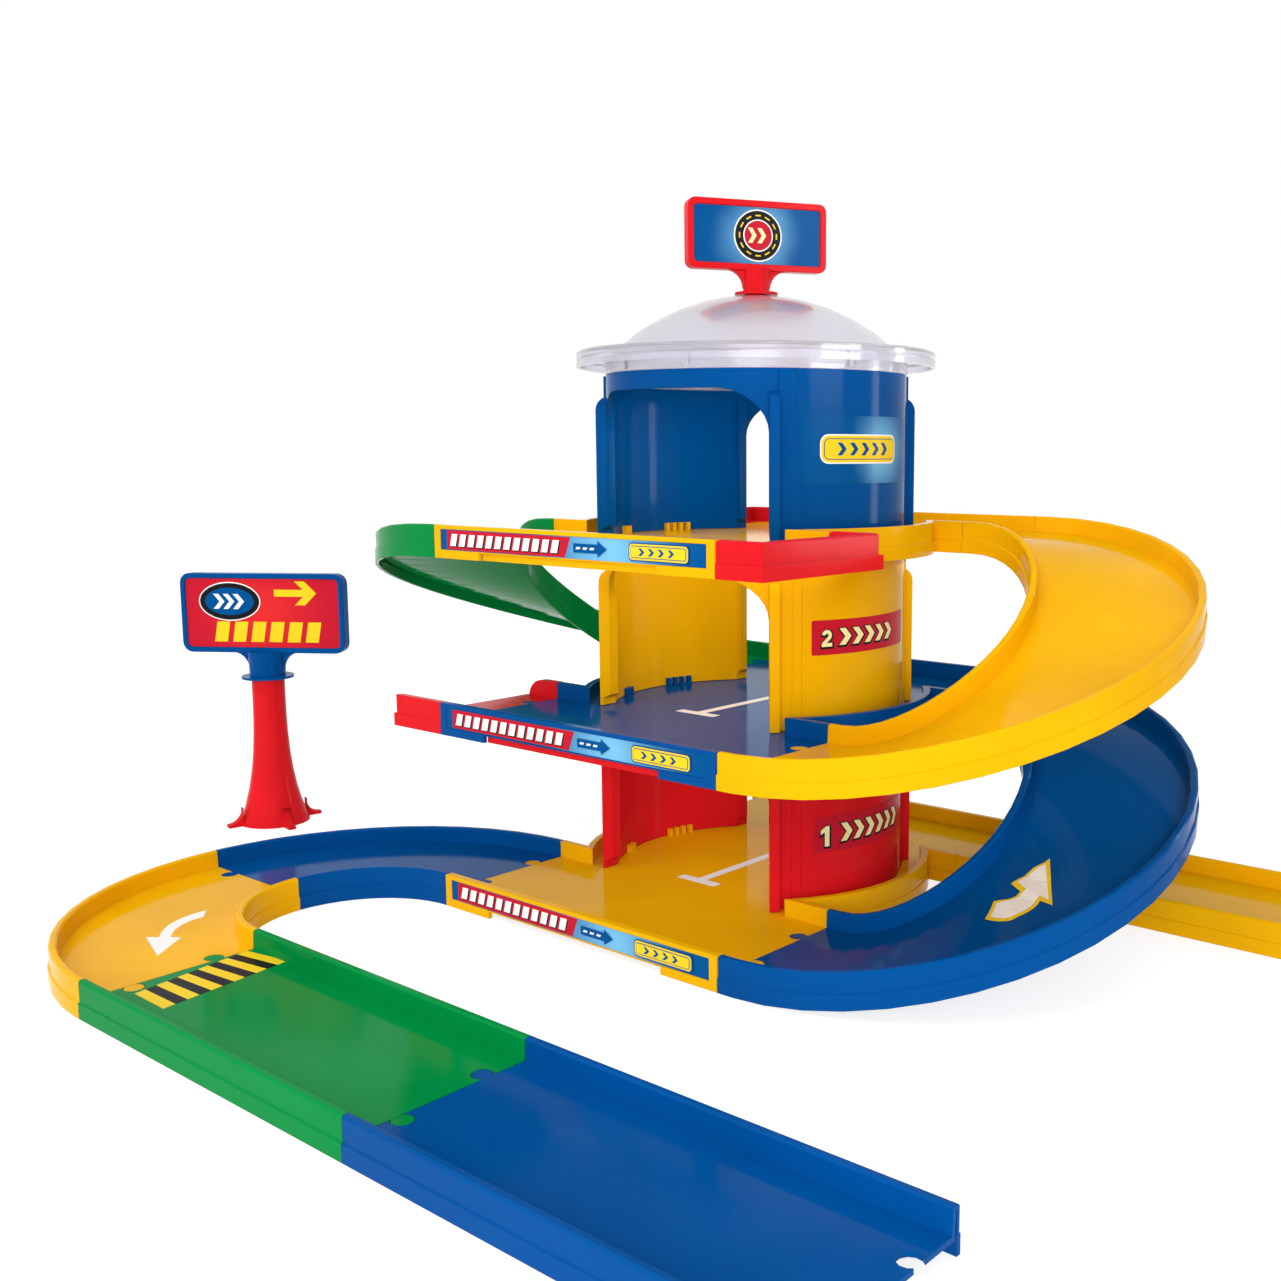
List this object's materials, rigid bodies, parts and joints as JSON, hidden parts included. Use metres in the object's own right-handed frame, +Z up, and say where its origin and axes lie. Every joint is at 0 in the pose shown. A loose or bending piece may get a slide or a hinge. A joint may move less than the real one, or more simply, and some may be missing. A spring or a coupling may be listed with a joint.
{
  "type": "toy parking garage",
  "caption": "Toy parking garage: stacked two-lane platforms on a round drum tower with spiral ramps, snap-together road track, a clear domed lid with a turning sign, and a loose road sign.",
  "frame": {"origin": "on the floor at the round tower's axis, on the crossed ribs under the lowest platform", "axes": "+X along the lanes towards the blue ramp and the long track, -Y towards the sticker side of the platforms, +Z up"},
  "size_m": [0.7174, 0.516, 0.4008],
  "materials": {
    "yellow_plastic": "satin gloss moulded",
    "blue_plastic": "satin gloss moulded",
    "red_plastic": "satin gloss moulded",
    "green_plastic": "satin gloss moulded",
    "clear_plastic": "frosted clear"
  },
  "bodies": {
    "garage": {"platform_1": "yellow_plastic", "platform_2": "blue_plastic", "platform_3": "yellow_plastic", "tower_wall_1": "red_plastic", "tower_wall_2": "yellow_plastic", "tower_wall_3": "blue_plastic", "ramp_blue": "blue_plastic", "ramp_yellow": "yellow_plastic", "ramp_green": "green_plastic", "curve_blue": "blue_plastic", "curve_yellow": "yellow_plastic", "straight_green": "green_plastic", "straight_blue": "blue_plastic", "straight_yellow": "yellow_plastic", "cap_front_right": "red_plastic", "cap_back_left": "red_plastic", "exit_front_left": "red_plastic", "road_sign_post": "red_plastic"},
    "lid": {"lid_dome": "clear_plastic"},
    "top_sign": {"top_sign": "red_plastic", "sign_retainer": "red_plastic"},
    "road_sign_head": {"road_sign_head": "blue_plastic"}
  },
  "joints": [
    {"name": "lid_lift", "type": "slide", "parent": "garage", "child": "lid", "axis": [0, 0, 1], "range_m": [0, 0.06]},
    {"name": "top_sign_swivel", "type": "hinge", "parent": "lid", "child": "top_sign", "pos_m": [0, 0, 0.35], "axis": [0, 0, 1], "continuous": true},
    {"name": "road_sign_swivel", "type": "hinge", "parent": "garage", "child": "road_sign_head", "pos_m": [-0.348, -0.114, 0.1], "axis": [0, 0, 1], "continuous": true}
  ]
}
